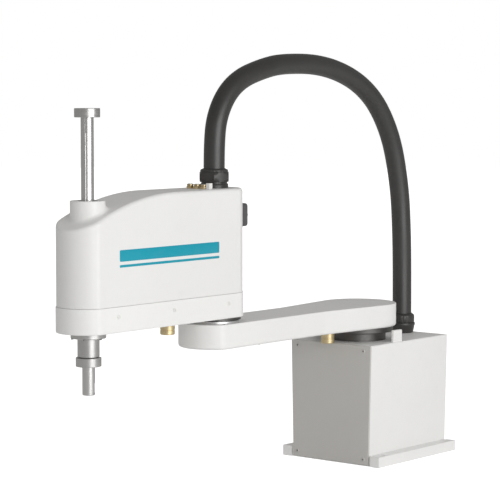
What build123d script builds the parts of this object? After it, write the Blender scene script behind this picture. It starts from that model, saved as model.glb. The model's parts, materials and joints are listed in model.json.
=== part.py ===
from build123d import *
import os
from math import acos, atan2, cos, degrees, hypot, pi, radians, sin, sqrt, tan

# Four-axis SCARA robot arm, all sizes in millimetres.
# The origin is where the first joint's axis meets the mounting plane, +X runs along both arms
# in their straight pose, +Z is up. Joint axes 1, 2 and 3 are vertical.
os.makedirs("parts", exist_ok=True)

# Driving dimensions: joint axes
ARM_1 = 400.0                    # joint 1 axis to joint 2 axis
ARM_2 = 300.0                    # joint 2 axis to the tool shaft
TOOL_X = ARM_1 + ARM_2           # the shaft's axis
J1_RANGE = 132.0                 # each way, degrees
STROKE = 125.0                   # the shaft's vertical travel
GAP = 0.3                        # clearance between pieces that turn past each other
FIT = 0.05                       # clearance between pieces fixed to each other

# Base
BASE_FRONT, BASE_REAR = 82.0, -158.0
BASE_TOP = 214.0
BASE_HALF_TOP, BASE_HALF_FOOT = 88.0, 83.5
FOOT_HEIGHT, FOOT_HALF = 18.5, 107.5
PLATE = 4.0                      # front and rear plates
BASE_WALL = 8.0
BASE_ROOF, BASE_FLOOR = 16.0, 18.0
HOLE_CENTRE_X, HOLE_SPAN_X, HOLE_SPAN_Y = -41.0, 190.0, 192.0
MOUNT_HOLE_RADIUS = 4.5
PLATE_SCREW_Y, PLATE_SCREW_TOP, PLATE_SCREW_LOW = 73.5, 204.5, 12.0
BASE_GLAND, BASE_GLAND_TOP = (-132.0, 4.0), 250.0
STOP_X, STOP_Y, STOP_TOP = (-19.0, 7.0), (79.0, 85.0), 235.0
SCREW_DEPTH = 14.0               # the plate screws' length below their heads
M4_RADIUS, M3_RADIUS = 2.0, 1.5

# Base rear panel: centre y and z, width and height of each cut-out, and the two air fittings
REAR_SOCKETS = {"power_connector": (-38, 130, 46, 34), "signal_connector": (38, 130, 56, 22),
                "service_connector": (38, 80, 40, 16)}
SOCKET_FLANGE, SOCKET_SHELL = 3.0, 9.0
BASE_AIR_Y, BASE_AIR_Z, BASE_AIR_BORE = (-50.0, -32.0), 78.0, 3.0

# Joint 1 reducer
J1_BORE = 46.0
J1_RING_RADIUS, J1_RING_TOP = 50.4, 228.2
J1_OUTPUT_RADIUS, J1_OUTPUT_LOW = 63.6, 229.0
J1_TOOTH_RADIUS = 40.0
J1_MOTOR_SHAFT = 8.0
J1_MOTOR_SIDE, J1_MOTOR_LOW, J1_BRAKE_SIDE, J1_BRAKE_LOW = 80.0, 80.0, 64.0, 62.0
J1_FLANGE_SIDE, J1_FLANGE, J1_SHAFT_LOW = 104.0, 8.0, 152.0
CUP_WALL, CUP_FLOOR = 2.0, 3.0   # the flexsplines of both reducers
J1_CUP_LOW, J1_GENERATOR, J1_SHAFT_TOP = 202.0, (204.0, 216.0), 220.0
SEGMENT_RADIUS, SEGMENT_HEIGHT = 83.5, 6.0

# Arm 1
ARM_1_LOW, ARM_1_TOP = 238.7, 280.0
ARM_1_HALF = 50.0
ARM_1_ROOT_RADIUS, ARM_1_TIP_RADIUS = 69.0, 60.0
FLARE_X = 164.0                  # where the parallel sides start to widen towards joint 1
POCKET_START, POCKET_END, POCKET_HALF = 126.0, 332.0, 36.0
POCKET_TOP = 272.0
COVER_LEDGE, COVER_SHEET = 6.0, 2.5
PLUG_PLACE, PLUG_RADIUS, PLUG_LOW = (100.0, 8.0), 12.0, 215.5

# Joint 2 reducer
J2_BORE = 40.0
J2_FLANGE_TOP = 284.0
J2_RING_RADIUS, J2_RING_LOW = 44.0, 284.8
J2_TOOTH_RADIUS = 34.0
J2_SPIGOT_TOP = 305.0
J2_MOTOR_SHAFT = 6.0
J2_FLANGE_RADIUS = 42.0
J2_CUP_TOP, J2_GENERATOR, J2_SHAFT = 303.0, (290.0, 300.0), (288.0, 345.0)
J2_MOTOR_FLANGE, J2_MOTOR_TOP = 39.0, 402.0

# Arm 2
ARM_2_LOW, SEAM, COVER_TOP = 289.2, 329.4, 502.0
ARM_2_HALF, ARM_2_REAR_RADIUS, ARM_2_NOSE_RADIUS = 46.0, 48.0, 50.5
COVER_STEP = 1.2                 # the cover stands this far inside the casting all round
CASTING_WALL, CASTING_FLOOR = 6.0, 10.0
COVER_WALL = 3.0
SLOPE_START, SLOPE_RADIUS = 540.0, 440.0
CORNER = 18.0                    # plan radius where the flat sides meet the round ends
TOP_ROUND = 6.0                  # fillet round the cover's top
BOSS_RADIUS, BOSS_TOP, BOSS_ROOF, BOSS_COVE = 27.5, 493.0, 5.0, 6.0
SIDE_SCREW_X, SIDE_SCREW_Z = (417.0, 551.0, 680.0), 314.0
BUMPER_PLACE, BUMPER_RADIUS, BUMPER_LOW = (516.5, 0.0), 12.0, 268.5
FITTING_X, FITTING_PITCH = 443.0, 15.0
BUTTON_Y, BUTTON_SIDE, BUTTON_TOP = 26.0, 8.0, 511.5
GLAND_TOP, GLAND_TURN = 531.0, 40.5
COVER_LOW, LIP_LOW = SEAM + 0.4, 315.0
BOARD_X, BOARD_TOP, BOARD_HALF = 448.0, 440.0, 32.0
BOARD_CHIPS = ((-14, 400, 20, 26), (12, 408, 14, 14), (10, 370, 24, 18), (-16, 350, 10, 20))
REAR_PAD_X = 352.0
SOCKET_Z, SOCKET_HEIGHT, SOCKET_Y, SOCKET_WIDTH, SOCKET_DEPTH = 455.0, 41.0, 2.0, 36.0, 17.0

# Shaft, nuts and their belts
SHAFT_RADIUS, SHAFT_BORE = 10.0, 5.5
COLLAR_RADIUS, COLLAR_HEIGHT, COLLAR_SLOT = 20.0, 14.0, 2.4
SHAFT_LOW, SHAFT_TOP = 191.0, BOSS_TOP + 3 + STROKE + COLLAR_HEIGHT
COLLAR_LOWS = (236.0, SHAFT_TOP - COLLAR_HEIGHT)
CLAMP_X, CLAMP_SEAT, CLAMP_SCREW_LENGTH = 14.8, 5.0, 12.0
NUT_RADIUS, NUT_LOW, NUT_TOP = 17.2, 250.5, 334.0
NUT_FLANGE_RADIUS, NUT_FLANGE_LOW = 27.7, 280.2
HOUSING_RADIUS, HOUSING_TOP = 23.7, 312.0
BALL_NUT_RADIUS, BALL_NUT_LOW, BALL_NUT_TOP = 18.0, 404.0, 446.0
PULLEY_RADIUS, PULLEY_WIDTH, PULLEY_RIM = 25.0, 12.0, 1.5
TURN_BELT_Z, LIFT_BELT_Z = 318.0, 424.0
BELT_THICKNESS = 2.0
TURN_MOTOR_X, LIFT_MOTOR_X = 500.0, 600.0
MOTOR_SIDE, MOTOR_SHAFT = 54.0, 5.0
TURN_PLATE_Z, LIFT_PLATE_Z, BRACKET_PLATE = 336.0, 410.0, 6.0
POST_RADIUS, POST_Y = 3.5, 32.0
TURN_MOTOR_TOP, LIFT_MOTOR_LOW, SHAFT_POCKET = 432.0, 343.0, 32.0
TOOL_END = 235.5                 # a narrow groove here parts the tool end from the rest of the shaft
GROOVE_ANGLES, KEYWAY_ANGLE, CLAMP_ANGLE = (31, 151, 271), 31, 129.5

# Hose over both joints, as points of one route in a vertical plane
HOSE_RADIUS = 17.5
ROUTE_LOWER = [(-132, 250), (-132, 310), (-130, 400), (-122, 490), (-91, 590), (-22, 667), (98, 708),
               (170, 708)]
ROUTE_UPPER = [(170, 708), (224, 708), (279, 698), (333, 682), (370, 656), (394, 617), (400, 572),
               (400, 531)]


def save(piece, name):
    piece.part.label = name
    export_step(piece.part, f"parts/{name}.step")


def block(x_range, y_range, z_range, mode=Mode.ADD):
    """A box between two values of x, y and z, in the part being built"""
    (x0, x1), (y0, y1), (z0, z1) = x_range, y_range, z_range
    with Locations(((x0 + x1) / 2, (y0 + y1) / 2, (z0 + z1) / 2)):
        Box(x1 - x0, y1 - y0, z1 - z0, mode=mode)


def disc(centre, radius, z_range, mode=Mode.ADD):
    """An upright cylinder between two heights, in the part being built"""
    low, high = z_range
    with Locations((*centre, (low + high) / 2)):
        Cylinder(radius, high - low, mode=mode)


def make_screws(name, places, outward, head_radius, head_height, shank_radius, shank_length):
    """A group of socket-head screws, each place on the face that the head sits on"""
    with BuildPart() as screws:
        for place in places:
            seat = Plane(origin=place, z_dir=outward)
            with BuildSketch(seat):
                Circle(head_radius)
            extrude(amount=head_height)
            with BuildSketch(seat):
                Circle(shank_radius)
            extrude(amount=-shank_length)
            with BuildSketch(seat.offset(head_height)):
                RegularPolygon(radius=0.5 * head_radius, side_count=6)
            extrude(amount=-0.6 * head_height, mode=Mode.SUBTRACT)
    save(screws, name)


# ---------------------------------------------------------------- base

def base_outline(x, top, half_top, low, half_low):
    """Cross-section of the base's box: its sides lean out towards the top"""
    with BuildSketch(Plane.YZ.offset(x)) as outline:
        with BuildLine():
            Polyline((-half_low, low), (half_low, low), (half_top, top), (-half_top, top), close=True)
        make_face()
    return outline.sketch


def plate_screw_places(x):
    return [(x, y, z) for y in (-PLATE_SCREW_Y, PLATE_SCREW_Y) for z in (PLATE_SCREW_LOW, PLATE_SCREW_TOP)]


def make_base_casting():
    length = BASE_FRONT - BASE_REAR - 2 * PLATE
    with BuildPart() as base_casting:
        extrude(base_outline(BASE_REAR + PLATE, BASE_TOP, BASE_HALF_TOP, 0, BASE_HALF_FOOT), amount=length)
        for side in (-1, 1):
            flange_y = sorted((side * (BASE_HALF_FOOT - BASE_WALL), side * FOOT_HALF))
            block((BASE_REAR + PLATE, BASE_FRONT - PLATE), flange_y, (0, FOOT_HEIGHT))
            tip_y = sorted((side * (BASE_HALF_TOP + 0.5), side * FOOT_HALF))
            block((BASE_REAR, BASE_FRONT), tip_y, (0, FOOT_HEIGHT))
        fillet(base_casting.edges().filter_by(Axis.X).group_by(Axis.Z)[-1], radius=2.5)
        inside = base_outline(BASE_REAR, BASE_TOP - BASE_ROOF, BASE_HALF_TOP - BASE_WALL,
                              BASE_FLOOR, BASE_HALF_FOOT - BASE_WALL)
        extrude(inside, amount=BASE_FRONT - BASE_REAR, mode=Mode.SUBTRACT)
        disc((0, 0), J1_BORE, (BASE_TOP - BASE_ROOF, BASE_TOP), Mode.SUBTRACT)
        disc(BASE_GLAND, 13, (BASE_TOP - BASE_ROOF, BASE_TOP), Mode.SUBTRACT)
        with Locations(Location((HOLE_CENTRE_X, 0, FOOT_HEIGHT))):
            with GridLocations(HOLE_SPAN_X, HOLE_SPAN_Y, 2, 2):
                Hole(MOUNT_HOLE_RADIUS, depth=FOOT_HEIGHT)
        for x, outward in ((BASE_FRONT - PLATE, 1), (BASE_REAR + PLATE, -1)):
            for place in plate_screw_places(x):
                with BuildSketch(Plane(origin=place, z_dir=(outward, 0, 0))):
                    Circle(M4_RADIUS + FIT)
                extrude(amount=-SCREW_DEPTH, mode=Mode.SUBTRACT)
    save(base_casting, "base_casting")


def make_base_plate(name, x, openings=()):
    """A flat cover over the base's front or rear opening, its own screws and any cut-outs"""
    with BuildPart() as plate:
        outline = base_outline(x, BASE_TOP - 0.3, BASE_HALF_TOP - 0.2, 2.5, BASE_HALF_FOOT - 0.2)
        extrude(outline, amount=PLATE)
        fillet(plate.edges().filter_by(Axis.Y).group_by(Axis.Z)[-1], radius=1.0)
        for y, z, width, height in openings:
            with Locations((x + PLATE / 2, y, z)):
                Box(PLATE, width, height, mode=Mode.SUBTRACT)
        with Locations(*plate_screw_places(x + PLATE / 2)):
            Cylinder(2.2, PLATE, rotation=(0, 90, 0), mode=Mode.SUBTRACT)
    save(plate, name)


def make_rear_connector(name):
    """A flanged socket shell that passes through the rear panel"""
    y, z, width, height = REAR_SOCKETS[name]
    with BuildPart() as connector:
        with BuildSketch(Plane.YZ.offset(BASE_REAR - SOCKET_FLANGE)):
            with Locations((y, z)):
                RectangleRounded(width + 12, height + 4, 2)
        extrude(amount=SOCKET_FLANGE)
        with BuildSketch(Plane.YZ.offset(BASE_REAR - SOCKET_FLANGE - SOCKET_SHELL)):
            with Locations((y, z)):
                RectangleRounded(width - 4, height - 4, 3)
        extrude(amount=SOCKET_SHELL)
        with BuildSketch(Plane.YZ.offset(BASE_REAR)):
            with Locations((y, z)):
                Rectangle(width - 4, height - 4)
        extrude(amount=PLATE + 12)
    save(connector, name)


def make_base_air_fittings():
    with BuildPart() as fittings:
        for y in BASE_AIR_Y:
            with BuildSketch(Plane.YZ.offset(BASE_REAR - 5)):
                with Locations((y, BASE_AIR_Z)):
                    RegularPolygon(radius=8, side_count=6)
            extrude(amount=5)
            with BuildSketch(Plane.YZ.offset(BASE_REAR - 13)):
                with Locations((y, BASE_AIR_Z)):
                    Circle(6)
                    Circle(BASE_AIR_BORE, mode=Mode.SUBTRACT)
            extrude(amount=8)
    save(fittings, "base_air_fittings")


def make_stop_block():
    with BuildPart() as stop:
        block(STOP_X, STOP_Y, (BASE_TOP, STOP_TOP))
        fillet(stop.edges().filter_by(Axis.Z), radius=1.5)
        chamfer(stop.faces().sort_by(Axis.Z)[-1].edges(), length=0.8)
    save(stop, "j1_stop_block")


def make_j1_motor():
    top = BASE_TOP - BASE_ROOF
    with BuildPart() as motor:
        with BuildSketch(Plane.XY.offset(J1_MOTOR_LOW)):
            RectangleRounded(J1_MOTOR_SIDE, J1_MOTOR_SIDE, 8)
        extrude(amount=top - J1_FLANGE - J1_MOTOR_LOW)
        with BuildSketch(Plane.XY.offset(top - J1_FLANGE)):
            RectangleRounded(J1_FLANGE_SIDE, J1_FLANGE_SIDE, 10)
        extrude(amount=J1_FLANGE)
        with BuildSketch(Plane.XY.offset(J1_BRAKE_LOW)):
            RectangleRounded(J1_BRAKE_SIDE, J1_BRAKE_SIDE, 6)
        extrude(amount=J1_MOTOR_LOW - J1_BRAKE_LOW)
        disc((0, 0), J1_MOTOR_SHAFT + GAP, (J1_SHAFT_LOW - 2, top), Mode.SUBTRACT)
    save(motor, "j1_motor")


def make_j1_reducer():
    with BuildPart() as ring:
        disc((0, 0), J1_BORE - FIT, (BASE_TOP - BASE_ROOF, BASE_TOP))
        disc((0, 0), J1_RING_RADIUS, (BASE_TOP, J1_RING_TOP))
        disc((0, 0), J1_TOOTH_RADIUS, (BASE_TOP - BASE_ROOF, J1_RING_TOP), Mode.SUBTRACT)
        chamfer(ring.faces().sort_by(Axis.Z)[-1].edges(), length=0.8)
    save(ring, "j1_circular_spline")
    cup_radius = J1_TOOTH_RADIUS - GAP
    with BuildPart() as cup:
        disc((0, 0), cup_radius, (J1_CUP_LOW, J1_OUTPUT_LOW))
        disc((0, 0), cup_radius - CUP_WALL, (J1_CUP_LOW, J1_OUTPUT_LOW - CUP_FLOOR), Mode.SUBTRACT)
    save(cup, "j1_flexspline")
    with BuildPart() as generator:
        disc((0, 0), cup_radius - CUP_WALL - GAP, J1_GENERATOR)
        disc((0, 0), J1_MOTOR_SHAFT, (J1_SHAFT_LOW, J1_SHAFT_TOP))
    save(generator, "j1_wave_generator")
    with BuildPart() as output:
        disc((0, 0), J1_OUTPUT_RADIUS, (J1_OUTPUT_LOW, ARM_1_LOW))
        chamfer(output.faces().sort_by(Axis.Z)[0].edges(), length=1)
    save(output, "j1_output_ring")


def make_j1_stop_segment():
    """A rim on joint 1's output ring that meets the stop block just past each end of the range"""
    ends = [degrees(atan2(STOP_Y[0], x)) for x in STOP_X]
    block_angle, block_half = (ends[0] + ends[1]) / 2, (ends[0] - ends[1]) / 2
    half = 180 - J1_RANGE - block_half - 1
    inner, outer = J1_OUTPUT_RADIUS + FIT, SEGMENT_RADIUS
    with BuildPart() as segment:
        with BuildSketch(Plane.XY.offset(J1_OUTPUT_LOW + 1.5)):
            with BuildLine():
                first, last = block_angle - 180 - half, block_angle - 180 + half
                CenterArc((0, 0), inner, first, 2 * half)
                CenterArc((0, 0), outer, first, 2 * half)
                for angle in (first, last):
                    PolarLine((inner * cos(radians(angle)), inner * sin(radians(angle))),
                              outer - inner, angle)
            make_face()
        extrude(amount=SEGMENT_HEIGHT)
    save(segment, "j1_stop_segment")


def make_base_gland():
    with BuildPart() as gland:
        for z, radius in ((BASE_TOP, 21.0), (BASE_TOP + 14, 23.8)):
            with BuildSketch(Plane.XY.offset(z)):
                with Locations(BASE_GLAND):
                    Circle(radius)
        loft()
        disc(BASE_GLAND, 24.3, (BASE_TOP + 14, BASE_TOP + 18.5))
        disc(BASE_GLAND, 23.0, (BASE_TOP + 18.5, BASE_GLAND_TOP - 3))
        disc(BASE_GLAND, 20.5, (BASE_GLAND_TOP - 3, BASE_GLAND_TOP))
        chamfer(gland.faces().sort_by(Axis.Z)[-1].edges(), length=1)
    save(gland, "base_hose_gland")


# ---------------------------------------------------------------- arm 1

def arm_1_plan():
    """Parallel sides from joint 2, then widening to the round end about joint 1"""
    meet = atan2(ARM_1_HALF, FLARE_X) + acos(ARM_1_ROOT_RADIUS / hypot(FLARE_X, ARM_1_HALF))
    tangent = (ARM_1_ROOT_RADIUS * cos(meet), ARM_1_ROOT_RADIUS * sin(meet))
    corner_x = ARM_1 + sqrt(ARM_1_TIP_RADIUS ** 2 - ARM_1_HALF ** 2)
    with BuildSketch(Plane.XY.offset(ARM_1_LOW)) as plan:
        with BuildLine():
            Polyline(tangent, (FLARE_X, ARM_1_HALF), (corner_x, ARM_1_HALF))
            ThreePointArc((corner_x, ARM_1_HALF), (ARM_1 + ARM_1_TIP_RADIUS, 0), (corner_x, -ARM_1_HALF))
            Polyline((corner_x, -ARM_1_HALF), (FLARE_X, -ARM_1_HALF), (tangent[0], -tangent[1]))
            ThreePointArc((tangent[0], -tangent[1]), (-ARM_1_ROOT_RADIUS, 0), tangent)
        make_face()
        fillet(plan.vertices().group_by(Axis.X)[-1], radius=CORNER)
    return plan.sketch


def cover_screw_places():
    xs = (POCKET_START, (POCKET_START + POCKET_END) / 2, POCKET_END)
    y = POCKET_HALF + COVER_LEDGE / 2
    return [(x, side * y, ARM_1_LOW) for x in xs for side in (-1, 1)]


def make_arm_1_casting():
    with BuildPart() as casting:
        extrude(arm_1_plan(), amount=ARM_1_TOP - ARM_1_LOW)
        fillet(casting.faces().sort_by(Axis.Z)[0].edges(), radius=5)
        fillet(casting.faces().sort_by(Axis.Z)[-1].edges(), radius=1.5)
        block((POCKET_START - COVER_LEDGE, POCKET_END + COVER_LEDGE),
              (-POCKET_HALF - COVER_LEDGE, POCKET_HALF + COVER_LEDGE),
              (ARM_1_LOW, ARM_1_LOW + COVER_SHEET), Mode.SUBTRACT)
        block((POCKET_START, POCKET_END), (-POCKET_HALF, POCKET_HALF), (ARM_1_LOW, POCKET_TOP),
              Mode.SUBTRACT)
        for x, y, _ in cover_screw_places():
            disc((x, y), M3_RADIUS + FIT, (ARM_1_LOW, ARM_1_LOW + 12), Mode.SUBTRACT)
    save(casting, "arm_1_casting")


def make_arm_1_cover():
    edge = COVER_LEDGE - 0.2
    with BuildPart() as cover:
        block((POCKET_START - edge, POCKET_END + edge), (-POCKET_HALF - edge, POCKET_HALF + edge),
              (ARM_1_LOW, ARM_1_LOW + COVER_SHEET))
        for x, y, _ in cover_screw_places():
            disc((x, y), 1.7, (ARM_1_LOW, ARM_1_LOW + COVER_SHEET), Mode.SUBTRACT)
    save(cover, "arm_1_bottom_cover")


def make_brass_stud(name, centre, radius, low, high):
    """A turned brass stud under an arm, with a groove round it near the top"""
    with BuildPart() as stud:
        disc(centre, radius, (low, high - 4))
        disc(centre, radius - 1.5, (high - 4, high - 2))
        disc(centre, radius, (high - 2, high))
        chamfer(stud.faces().sort_by(Axis.Z)[0].edges(), length=1.2)
    save(stud, name)


def make_j2_reducer():
    axis = (ARM_1, 0)
    cup_radius = J2_TOOTH_RADIUS - GAP
    with BuildPart() as flange:
        disc(axis, J2_FLANGE_RADIUS, (ARM_1_TOP, J2_FLANGE_TOP))
        chamfer(flange.faces().sort_by(Axis.Z)[-1].edges(), length=0.8)
    save(flange, "j2_output_flange")
    with BuildPart() as cup:
        disc(axis, cup_radius, (J2_FLANGE_TOP, J2_CUP_TOP))
        disc(axis, cup_radius - CUP_WALL, (J2_FLANGE_TOP + CUP_FLOOR, J2_CUP_TOP), Mode.SUBTRACT)
    save(cup, "j2_flexspline")
    with BuildPart() as generator:
        disc(axis, cup_radius - CUP_WALL - GAP, J2_GENERATOR)
        disc(axis, J2_MOTOR_SHAFT, J2_SHAFT)
    save(generator, "j2_wave_generator")
    with BuildPart() as ring:
        disc(axis, J2_RING_RADIUS, (J2_RING_LOW, ARM_2_LOW))
        disc(axis, J2_BORE - FIT, (ARM_2_LOW, J2_SPIGOT_TOP))
        disc(axis, J2_TOOTH_RADIUS, (J2_RING_LOW, J2_SPIGOT_TOP), Mode.SUBTRACT)
    save(ring, "j2_circular_spline")


# ---------------------------------------------------------------- arm 2

def arm_2_plan(z, inset=0.0):
    """Flat sides, and a round end about joint 2's and about the shaft's axis, drawn in by inset"""
    half = ARM_2_HALF - inset
    rear_radius, nose_radius = ARM_2_REAR_RADIUS - inset, ARM_2_NOSE_RADIUS - inset
    rear_x = ARM_1 - sqrt(rear_radius ** 2 - half ** 2)
    nose_x = TOOL_X + sqrt(nose_radius ** 2 - half ** 2)
    with BuildSketch(Plane.XY.offset(z)) as plan:
        with BuildLine():
            Line((rear_x, half), (nose_x, half))
            ThreePointArc((nose_x, half), (TOOL_X + nose_radius, 0), (nose_x, -half))
            Line((nose_x, -half), (rear_x, -half))
            ThreePointArc((rear_x, -half), (ARM_1 - rear_radius, 0), (rear_x, half))
        make_face()
        fillet(plan.vertices(), radius=CORNER - inset)
    return plan.sketch


def cut_side_screw_holes():
    for x in SIDE_SCREW_X:
        with Locations((x, 0, SIDE_SCREW_Z)):
            Cylinder(M4_RADIUS + FIT, 2 * ARM_2_HALF, rotation=(90, 0, 0), mode=Mode.SUBTRACT)


def make_arm_2_casting():
    with BuildPart() as casting:
        extrude(arm_2_plan(ARM_2_LOW), amount=SEAM - ARM_2_LOW)
        fillet(casting.faces().sort_by(Axis.Z)[0].edges(), radius=2)
        extrude(arm_2_plan(ARM_2_LOW + CASTING_FLOOR, CASTING_WALL), amount=SEAM - ARM_2_LOW,
                mode=Mode.SUBTRACT)
        disc((ARM_1, 0), J2_BORE, (ARM_2_LOW, SEAM), Mode.SUBTRACT)
        disc((TOOL_X, 0), HOUSING_RADIUS + FIT, (ARM_2_LOW, SEAM), Mode.SUBTRACT)
        cut_side_screw_holes()
        for place in housing_bolt_places(ARM_2_LOW):
            disc(place[:2], M4_RADIUS + FIT, (ARM_2_LOW, ARM_2_LOW + 8), Mode.SUBTRACT)
    save(casting, "arm_2_casting")


def cut_above_slope(drop=0.0):
    """Take away what lies above the cover's top: flat, then curving down towards the nose"""
    far = 760.0
    fall = SLOPE_RADIUS - sqrt(SLOPE_RADIUS ** 2 - (far - SLOPE_START) ** 2)
    rear, top, sky = 340.0, COVER_TOP - drop, 600.0
    with BuildSketch(Plane.XZ.offset(-60)) as above:
        with BuildLine():
            Polyline((far, sky), (rear, sky), (rear, top), (SLOPE_START, top))
            TangentArc((SLOPE_START, top), (far, top - fall), tangent=(1, 0))
            Line((far, top - fall), (far, sky))
        make_face()
    extrude(above.sketch, amount=120, mode=Mode.SUBTRACT)


def on_boss_foot(edge):
    """Whether an edge is where the boss meets the cover's curved top"""
    points = [edge.position_at(share) for share in (0, 0.37, 0.81)]
    reaches = [hypot(point.X - TOOL_X, point.Y) for point in points]
    return all(abs(reach - BOSS_RADIUS) < 0.05 for reach in reaches) and points[1].Z < BOSS_TOP - 2


def make_arm_2_cover():
    height = COVER_TOP + 20 - COVER_LOW
    with BuildPart() as cavity:
        extrude(arm_2_plan(LIP_LOW - 1, COVER_STEP + COVER_WALL), amount=height)
        cut_above_slope(COVER_WALL)
        disc((TOOL_X, 0), BOSS_RADIUS - 4, (SEAM, BOSS_TOP - BOSS_ROOF))
    with BuildPart() as lip:
        extrude(arm_2_plan(LIP_LOW, CASTING_WALL + GAP), amount=COVER_LOW - LIP_LOW)
        extrude(arm_2_plan(COVER_LOW, COVER_STEP + 1), amount=5)
        extrude(arm_2_plan(LIP_LOW, CASTING_WALL + GAP + COVER_WALL), amount=COVER_LOW + 5 - LIP_LOW,
                mode=Mode.SUBTRACT)
    with BuildPart() as cover:
        extrude(arm_2_plan(COVER_LOW, COVER_STEP), amount=height)
        cut_above_slope()
        rim = cover.faces().filter_by(lambda face: face.normal_at().Z > 0.5)
        top_edges = rim.edges().filter_by(lambda edge: abs(edge.center().X - SLOPE_START) > 1)
        fillet(top_edges, radius=TOP_ROUND)
        disc((TOOL_X, 0), BOSS_RADIUS, (SEAM + 60, BOSS_TOP))
        fillet(cover.edges().filter_by_position(Axis.Z, BOSS_TOP - 0.1, BOSS_TOP + 0.1), radius=1.5)
        fillet(cover.edges().filter_by(on_boss_foot), radius=BOSS_COVE)
        block((REAR_PAD_X, REAR_PAD_X + 9), (SOCKET_Y - 19, SOCKET_Y + 19), (SOCKET_Z - 22, SOCKET_Z + 22))
        add(cavity.part, mode=Mode.SUBTRACT)
        add(lip.part)
        disc((TOOL_X, 0), 16, (BOSS_TOP - BOSS_ROOF - 1, BOSS_TOP), Mode.SUBTRACT)
        half_hole = BUTTON_SIDE / 2 + GAP
        block((FITTING_X - half_hole, FITTING_X + half_hole), (BUTTON_Y - half_hole, BUTTON_Y + half_hole),
              (COVER_TOP - 10, COVER_TOP + 1), Mode.SUBTRACT)
        cut_side_screw_holes()
    save(cover, "arm_2_cover")


def make_arm_gland():
    axis = (ARM_1, 0)
    with BuildPart() as gland:
        disc(axis, 23.2, (COVER_TOP, COVER_TOP + 9))
        with BuildSketch(Plane.XY.offset(COVER_TOP + 9)):
            with Locations(axis):
                RegularPolygon(radius=28.0, side_count=6, rotation=GLAND_TURN)
        extrude(amount=15)
        disc(axis, 23.0, (COVER_TOP + 24, GLAND_TOP - 2))
        disc(axis, 20.5, (GLAND_TOP - 2, GLAND_TOP))
    save(gland, "arm_hose_gland")


def make_air_fittings():
    with BuildPart() as fittings:
        for step in (-1, 0, 1):
            place = (FITTING_X, step * FITTING_PITCH)
            with BuildSketch(Plane.XY.offset(COVER_TOP)):
                with Locations(place):
                    RegularPolygon(radius=6.6, side_count=6)
            extrude(amount=4)
            disc(place, 5.6, (COVER_TOP + 4, COVER_TOP + 8))
            disc(place, 3.2, (COVER_TOP + 4, COVER_TOP + 8), Mode.SUBTRACT)
    save(fittings, "arm_2_air_fittings")


def make_brake_button():
    half = BUTTON_SIDE / 2
    with BuildPart() as button:
        block((FITTING_X - half, FITTING_X + half), (BUTTON_Y - half, BUTTON_Y + half),
              (COVER_TOP - 6, BUTTON_TOP))
        fillet(button.edges().filter_by(Axis.Z), radius=1)
        block((FITTING_X - 5, FITTING_X + 5), (BUTTON_Y - 5, BUTTON_Y + 5),
              (COVER_TOP - 8, COVER_TOP - COVER_WALL - GAP))
    save(button, "brake_release_button")


def make_rear_socket():
    with BuildPart() as socket:
        half_y, half_z = SOCKET_WIDTH / 2, SOCKET_HEIGHT / 2
        block((REAR_PAD_X - 3, REAR_PAD_X), (SOCKET_Y - half_y, SOCKET_Y + half_y),
              (SOCKET_Z - half_z, SOCKET_Z + half_z))
        block((REAR_PAD_X - SOCKET_DEPTH, REAR_PAD_X - 3), (SOCKET_Y - half_y, SOCKET_Y + half_y),
              (SOCKET_Z - half_z + 1, SOCKET_Z + half_z - 1))
        fillet(socket.edges().filter_by(Axis.X).group_by(Axis.X)[0], radius=2)
    save(socket, "arm_2_rear_connector")


def make_motor(name, x, low, high, shaft_radius, shaft_low, shaft_high, flange=None):
    """A square servo motor with rounded corners, an end cap and a bore for its shaft"""
    with BuildPart() as motor:
        with BuildSketch(Plane.XY.offset(low)):
            with Locations((x, 0)):
                RectangleRounded(MOTOR_SIDE, MOTOR_SIDE, 5)
        extrude(amount=high - low)
        if flange:
            disc((x, 0), flange, (low - 8, low))
        disc((x, 0), shaft_radius + GAP, (shaft_low, shaft_high), Mode.SUBTRACT)
    save(motor, name)


def make_motors():
    make_motor("j2_motor", ARM_1, J2_SPIGOT_TOP + 8, J2_MOTOR_TOP, J2_MOTOR_SHAFT, J2_SPIGOT_TOP,
               J2_SHAFT[1] + 2, flange=J2_MOTOR_FLANGE)
    turn_low = TURN_PLATE_Z + BRACKET_PLATE
    make_motor("turn_motor", TURN_MOTOR_X, turn_low, TURN_MOTOR_TOP, MOTOR_SHAFT, turn_low,
               turn_low + SHAFT_POCKET)
    make_motor("lift_motor", LIFT_MOTOR_X, LIFT_MOTOR_LOW, LIFT_PLATE_Z, MOTOR_SHAFT,
               LIFT_PLATE_Z - SHAFT_POCKET, LIFT_PLATE_Z)


def make_motor_pulley(name, x, belt_z, shaft_range):
    with BuildPart() as pulley:
        pulley_rims((x, 0), belt_z)
        disc((x, 0), MOTOR_SHAFT, shaft_range)
    save(pulley, name)


def pulley_rims(centre, belt_z):
    """A belt pulley: the toothed band between two thin rims"""
    disc(centre, PULLEY_RADIUS, (belt_z, belt_z + PULLEY_WIDTH))
    for z in (belt_z - PULLEY_RIM, belt_z + PULLEY_WIDTH):
        disc(centre, PULLEY_RADIUS + 1.8, (z, z + PULLEY_RIM))


def make_nut_pulley(name, belt_z, bore):
    with BuildPart() as pulley:
        pulley_rims((TOOL_X, 0), belt_z)
        disc((TOOL_X, 0), bore, (belt_z - PULLEY_RIM, belt_z + PULLEY_WIDTH + PULLEY_RIM), Mode.SUBTRACT)
    save(pulley, name)


def make_belt(name, motor_x, belt_z):
    inner = PULLEY_RADIUS + GAP
    span = TOOL_X - motor_x
    with BuildPart() as belt:
        with BuildSketch(Plane.XY.offset(belt_z + 0.5)):
            with Locations((motor_x + span / 2, 0)):
                SlotCenterToCenter(span, 2 * (inner + BELT_THICKNESS))
                SlotCenterToCenter(span, 2 * inner, mode=Mode.SUBTRACT)
        extrude(amount=PULLEY_WIDTH - 1)
    save(belt, name)


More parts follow.
